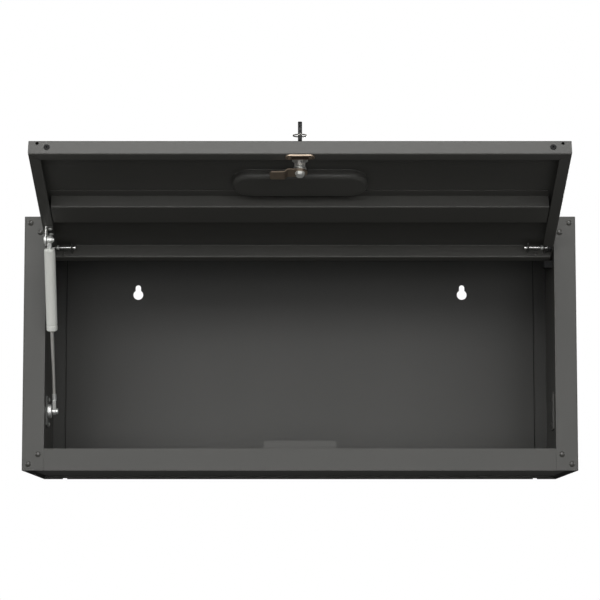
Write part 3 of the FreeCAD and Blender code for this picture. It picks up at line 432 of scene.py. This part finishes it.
def splitRing(plan):
    # flat double coil: a circle run twice, in two layers that touch, with a short step between
    low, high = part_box("key_ring")
    wire = (high.z - low.z) / 4
    radius = (high.x - low.x) / 2 - wire
    degrees = np.linspace(plan["gap"], 720 - plan["gap"], 2 * plan["pointsPerTurn"])
    share = np.clip((degrees - 360 + plan["step"] / 2) / plan["step"], 0, 1)
    height = wire * (2 * share ** 2 * (3 - 2 * share) - 1)  # an S from -wire to wire
    angle = np.radians(degrees)
    outward = np.stack([np.sin(angle), -np.cos(angle), np.zeros_like(angle)], axis=1)
    centre = np.array((low + high) / 2)
    path = centre + radius * outward + height[:, None] * np.array((0.0, 0.0, 1.0))
    piece = surfacePiece("split_ring", wireForm(path, -outward, wire, plan["columns"]))
    finishPiece(piece, "ring", "ring_steel", "key_ring")


splitRing(ringPlan)
print("key ring made")


# along the tube from its top, below the pivot; the last stretch holds the groove and the mouth
strutPlan = {
    "topMm": 12.0, "lengthMm": 117.0, "radiusMm": 7.5, "shoulderMm": 3.4, "neckMm": 4.8,
    "grooveMm": 9.0, "grooveWideMm": 1.6, "grooveDeepMm": 0.55,
    "rollMm": 2.6, "mouthMm": 4.3, "mouthDeepMm": 2.4, "lastMm": 14.0,
    "shoulderSteps": 14, "wallSteps": 12, "lastSteps": 90, "mouthSteps": 3, "columns": 96,
}


def strutTube(plan):
    # drawn cylinder: radius = tube - top shoulder - rolled-in end - crimped groove, and a short
    # mouth turned back inside
    top = Vector(joints["strut_pivot"]["pos_m"])
    down = -Vector(joints["strut_slide"]["axis"])
    radius, length, mouth = plan["radiusMm"], plan["lengthMm"], plan["mouthMm"]
    shoulder, last = plan["shoulderMm"], length - plan["lastMm"]
    along = np.concatenate([np.linspace(0, shoulder, plan["shoulderSteps"]),
                            np.linspace(shoulder, last, plan["wallSteps"])[1:],
                            np.linspace(last, length, plan["lastSteps"])[1:]])
    form = radius - quarterDrop(along, shoulder, radius - plan["neckMm"])
    form -= quarterDrop(length - along, plan["rollMm"], radius - mouth)
    groove = np.clip((along - length + plan["grooveMm"]) / plan["grooveWideMm"], -1, 1)
    form -= plan["grooveDeepMm"] * (1 + np.cos(np.pi * groove)) / 2
    inside = length - np.linspace(0, plan["mouthDeepMm"], plan["mouthSteps"] + 1)[1:]
    along = np.concatenate([along, inside]) + plan["topMm"]
    form = np.concatenate([form, np.full(plan["mouthSteps"], mouth)])
    radii = np.tile(form[:, None] * mm, plan["columns"])
    points = turnedForm(top, down, (1.0, 0.0, 0.0), along * mm, radii)
    finishPiece(surfacePiece("strut_cylinder_tube", points), "strut_cylinder", "strut_paint",
                "strut_tube")


strutTube(strutPlan)
print("strut tube made")


barrelPlan = {
    "boreMm": 5.6, "headMm": 11.0, "headThickMm": 2.6, "headRoundMm": 1.4, "bodyMm": 8.2,
    "flatMm": 7.1, "pitchMm": 1.5, "threadMm": 0.5, "reliefMm": 1.6,
    "leastCosine": 0.2,  # keeps the flats' line finite where it runs past the body
    "roundSteps": 9, "bodySteps": 150, "columns": 144,
}
# satin nickel on turned zinc alloy: warm white, softer than chrome, faint turning marks
barrelFinishPlan = {
    "name": "satin nickel", "constants": metal,
    "tones": ("#D2CFC9", "#E4E1DB"), "toneLumps": (2.0, 2.0),
    "roughness": (0.4, 0.52), "roughLumps": (0.7, 2.0),
    "bumps": [((0.4, 2.0), 0.12, 0.02)],
}


def lockFrame():
    # a point on the lock's axis, the direction from its face to its cam, and the door's width
    turn = joints["lock_turn"]
    inward = -np.array(turn["axis"])
    return np.array(turn["pos_m"]), inward, np.array((1.0, 0.0, 0.0))


def lockBarrel(plan):
    # turned body with two flats and a thread: radius = the least of body - thread depth * ridge and
    # flat / |cosine|; the loop runs over the domed head, down the body and back up the bore
    start, inward, side = lockFrame()
    places = np.array([vertex.co for vertex in nodes["lock_barrel"].data.vertices])
    depths = (places - start) @ inward
    front, back = depths.min(), depths.max()
    seat = front + plan["headThickMm"] * mm
    head, rounding = plan["headMm"] * mm, plan["headRoundMm"] * mm
    bend = np.linspace(np.pi / 2, 0, plan["roundSteps"])
    headAlong = front + rounding * (1 - np.sin(bend))
    headRadius = head - rounding * (1 - np.cos(bend))
    angles = np.linspace(0, 2 * np.pi, plan["columns"], endpoint=False)
    bodyAlong = np.linspace(seat, back, plan["bodySteps"])
    ridge = 0.5 + 0.5 * np.cos(2 * np.pi * (bodyAlong[:, None] / (plan["pitchMm"] * mm))
                               - angles[None, :])
    ends = np.minimum(bodyAlong - seat, back - bodyAlong) / (plan["reliefMm"] * mm)
    depth = plan["threadMm"] * mm * np.clip(ends, 0, 1)[:, None]
    flats = plan["flatMm"] * mm / np.maximum(np.abs(np.cos(angles)), plan["leastCosine"])
    body = np.minimum(plan["bodyMm"] * mm - depth * ridge, flats[None, :])
    level = np.ones((1, plan["columns"]))
    bore = plan["boreMm"] * mm * level
    radii = np.vstack([bore, headRadius[:, None] * level, head * level, body, bore])
    heights = np.concatenate([[front], headAlong, [seat], bodyAlong, [back]])
    points = turnedForm(start, inward, side, heights, radii)
    piece = surfacePiece("threaded_barrel", points, closedAlong=True)
    finishPiece(piece, "door", "ground_chrome", "lock_barrel", makeFinish(barrelFinishPlan))


lockBarrel(barrelPlan)
print("lock barrel made")


# the rings' shares: of the bevel at its knee, and of the end radius on the dish's floor
wearPlan = {"bevelMm": 1.0, "dishMm": 0.5, "rimMm": 1.8, "kneeShare": 0.3,
            "floorShares": (0.7, 0.98), "columns": 96}
# painted shade: the same passivated zinc in dark brown on the dish, for the dark middle band
# that the rounded plate shows between its lit rims
dishShadePlan = {
    "name": "browned zinc", "constants": metal,
    "tones": ("#4A3D33", "#65564A"), "toneLumps": (5.0, 2.0),
    "roughness": (0.5, 0.65), "roughLumps": (3.0, 2.0),
    "bumps": [((0.5, 2.0), 0.2, 0.03)],
}


def wearPlate(plan):
    # stadium outline drawn in step by step: up the side, over a bevel, then into a shallow dish;
    # a point is the end centre + (end radius - inset) * direction, raised by its ring's rise
    places = np.array([vertex.co for vertex in nodes["wear_plate"].data.vertices])
    _, inward, side = lockFrame()
    across = np.cross(inward, side)
    depth, width = places @ inward, places @ across
    half, radius, thick = np.ptp(places @ side) / 2, np.ptp(width) / 2, np.ptp(depth)
    centre = depth.min() * inward + (width.min() + radius) * across
    bevel, dish, rim = (plan[key] * mm for key in ("bevelMm", "dishMm", "rimMm"))
    knee, floor = bevel * plan["kneeShare"], thick - dish
    insets = [0, 0, knee, bevel, rim, rim + bevel,
              *(radius * share for share in plan["floorShares"])]
    rises = [0, thick - bevel, thick - knee, thick, thick, floor, floor, floor]
    angles = np.linspace(0, 2 * np.pi, plan["columns"], endpoint=False)
    reach = (radius - np.array(insets))[:, None]
    along = reach * np.cos(angles) + np.sign(np.cos(angles)) * (half - radius)
    points = (centre + along[:, :, None] * side + (reach * np.sin(angles))[:, :, None] * across
              + np.array(rises)[:, None, None] * inward)
    piece = surfacePiece("wear_plate_pressed", points)
    finishPiece(piece, "door", "yellow_zinc", "wear_plate")
    piece.data.materials.append(makeFinish(dishShadePlan))
    # painted shade from half way round the dish's wall to its floor, and never on the flat underneath
    dishStart = (insets.index(rim) + 0.5) * plan["columns"]
    paintedShade = (np.arange(len(piece.data.polygons)) > dishStart).astype(int)
    paintedShade[(len(insets) - 1) * plan["columns"]:-plan["columns"]] = 0
    piece.data.polygons.foreach_set("material_index", paintedShade)


wearPlate(wearPlan)
print("wear plate made")


# the bead's centre lies a share of its radius inside the flange's face
lapPlan = {"sheetMm": 1.2, "beadMm": 0.8, "beadLift": 0.3, "beadColumns": 16, "shadowWideMm": 0.7,
           "shadowThickMm": 0.1}
# painted shadow: a near-black strip on the back panel for the shade in the lap joint, where no light reaches
paintedShadowFinish = makeFinish({
    "name": "open lap joint", "constants": {"IOR": 1.3},
    "tones": ("#101010", "#1A1A1A"), "toneLumps": (4.0, 2.0),
    "roughness": (0.8, 0.9), "roughLumps": (2.0, 2.0),
    "bumps": [((1.0, 2.0), 0.2, 0.05)],
})


def lapSeam(side, plan):
    # two upright strips of even section along the rear flange's cut edge: a round bead where the
    # powder coat builds up, and beside it a near-black strip of painted shadow for the joint between
    # flange and back panel
    low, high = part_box("inner_post_" + side)
    sign = {"left": -1, "right": 1}[side]
    edge = sign * min(abs(low.x), abs(high.x))
    sheet, bead, gap, shadowThick = (plan[key] * mm for key in
                                 ("sheetMm", "beadMm", "shadowWideMm", "shadowThickMm"))
    angles = np.linspace(0, 2 * np.pi, plan["beadColumns"], endpoint=False)
    sections = {
        "bead": (edge + bead * np.cos(angles),
                 bead * (np.sin(angles) + plan["beadLift"]) - 2 * sheet),
        # the joint strip is gap wide and lies flat on the back panel: painted shadow for the lap joint, not an
        # opening
        "joint": (edge - sign * (bead + gap * np.array((0, 0, 1, 1))),
                  -sheet - shadowThick * np.array((0, 1, 1, 0))),
    }
    for form, (across, out) in sections.items():
        points = np.array([np.stack([across, out, np.full_like(out, height)], axis=1)
                           for height in (low.z, high.z)])
        finishPiece(surfacePiece(f"lap_{form}_{side}", points), "cabinet", "powder_coat",
                    material=paintedShadowFinish if form == "joint" else None)


for side in ("left", "right"):
    lapSeam(side, lapPlan)
print("lap seams made")
